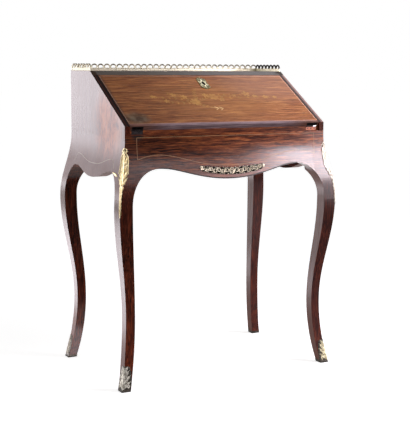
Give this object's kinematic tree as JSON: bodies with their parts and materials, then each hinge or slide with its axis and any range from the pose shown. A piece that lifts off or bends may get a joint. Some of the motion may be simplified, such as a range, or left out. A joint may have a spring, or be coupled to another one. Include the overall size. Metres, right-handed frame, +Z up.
{
  "type": "slant-front desk",
  "caption": "Small slant-front writing desk on cabriole legs, with a hinged fall, pierced gallery, inner drawers, pigeonholes and a well with a sliding lid.",
  "frame": {"origin": "on the floor, under the middle of the desk's width and depth", "axes": "+Z up, +X to the right of a person facing the slanted front, -Y towards that person"},
  "size_m": [0.7434, 0.4742, 0.9475],
  "materials": {
    "rosewood": "french polish",
    "interior_wood": "satin",
    "carcase_wood": "plain",
    "gilt_bronze": "gilt, aged",
    "gallery_brass": "polished",
    "brass": "worn",
    "steel": "dull",
    "leather": "tooled edge"
  },
  "bodies": {
    "case": {"front_left_leg": "rosewood", "front_right_leg": "rosewood", "back_left_leg": "rosewood", "back_right_leg": "rosewood", "front_left_sabot": "gilt_bronze", "front_right_sabot": "gilt_bronze", "back_left_sabot": "gilt_bronze", "back_right_sabot": "gilt_bronze", "front_left_corner_mount": "gilt_bronze", "front_right_corner_mount": "gilt_bronze", "left_side": "rosewood", "right_side": "rosewood", "front_apron": "rosewood", "apron_mount": "gilt_bronze", "back_panel": "carcase_wood", "bottom_board": "carcase_wood", "bed_front_rail": "rosewood", "bed_left_board": "rosewood", "bed_right_board": "rosewood", "well_runners": "carcase_wood", "top_board": "rosewood", "fall_stop_rail": "rosewood", "lock_keeper": "brass", "gallery_left": "gallery_brass", "gallery_back": "gallery_brass", "gallery_right": "gallery_brass", "compartment_base": "interior_wood", "compartment_shelf": "interior_wood", "drawer_partition_1": "interior_wood", "drawer_partition_2": "interior_wood", "pigeonhole_divider_1": "interior_wood", "pigeonhole_divider_2": "interior_wood", "pigeonhole_divider_3": "interior_wood", "pigeonhole_divider_4": "interior_wood", "left_hinge_case_leaf": "brass", "left_hinge_pin": "steel", "right_hinge_case_leaf": "brass", "right_hinge_pin": "steel", "hinge_case_screws": "steel"},
    "fall": {"fall_panel": "rosewood", "writing_leather": "leather", "lock_case": "brass", "lock_screws": "steel", "escutcheon": "gilt_bronze", "escutcheon_pins": "gilt_bronze", "left_hinge_fall_leaf": "brass", "right_hinge_fall_leaf": "brass", "hinge_fall_screws": "steel"},
    "lock_bolt": {"lock_bolt": "steel"},
    "well_lid": {"well_lid": "rosewood"},
    "drawer_1": {"drawer_1_front": "rosewood", "drawer_1_box": "interior_wood", "drawer_1_knob": "brass"},
    "drawer_2": {"drawer_2_front": "rosewood", "drawer_2_box": "interior_wood", "drawer_2_knob": "brass"},
    "drawer_3": {"drawer_3_front": "rosewood", "drawer_3_box": "interior_wood", "drawer_3_knob": "brass"}
  },
  "joints": [
    {"name": "fall_hinge", "type": "hinge", "parent": "case", "child": "fall", "pos_m": [0, -0.19925, 0.75802], "axis": [1, 0, 0], "range_deg": [0, 148.81]},
    {"name": "lock_bolt_slide", "type": "slide", "parent": "fall", "child": "lock_bolt", "axis": [0, 0.8554, 0.5179], "range_m": [0, 0.007]},
    {"name": "well_lid_slide", "type": "slide", "parent": "case", "child": "well_lid", "axis": [0, 1, 0], "range_m": [0, 0.138]},
    {"name": "drawer_1_slide", "type": "slide", "parent": "case", "child": "drawer_1", "axis": [0, -1, 0], "range_m": [0, 0.105]},
    {"name": "drawer_2_slide", "type": "slide", "parent": "case", "child": "drawer_2", "axis": [0, -1, 0], "range_m": [0, 0.105]},
    {"name": "drawer_3_slide", "type": "slide", "parent": "case", "child": "drawer_3", "axis": [0, -1, 0], "range_m": [0, 0.105]}
  ]
}
